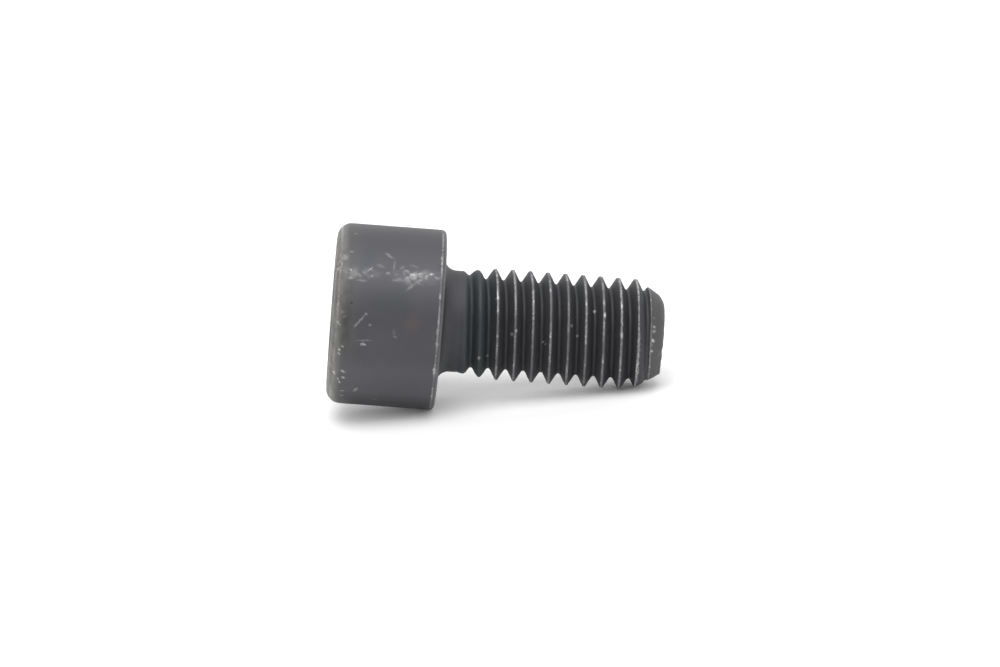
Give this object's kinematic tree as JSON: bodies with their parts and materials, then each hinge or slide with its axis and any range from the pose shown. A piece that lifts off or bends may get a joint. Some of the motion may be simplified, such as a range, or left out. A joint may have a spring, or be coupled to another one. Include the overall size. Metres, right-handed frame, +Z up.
{
  "type": "socket head cap screw",
  "caption": "Short black steel cap screw with a plain round head, a hex socket, a coarse right-hand thread and a chamfered tip, lying on its side.",
  "frame": {"origin": "middle of the lying screw's box, on the table it lies on", "axes": "+Z up; the screw's axis lies in the XZ plane with the head towards -X and the tip towards +X, sloping down to the tip because it lies on the rim of its head and on its thread"},
  "size_m": [0.0244, 0.0128, 0.0137],
  "materials": {
    "black_oxide_steel": "black oxide, satin, worn bright on the crests and edges"
  },
  "bodies": {
    "root": {"screw": "black_oxide_steel"}
  },
  "joints": []
}
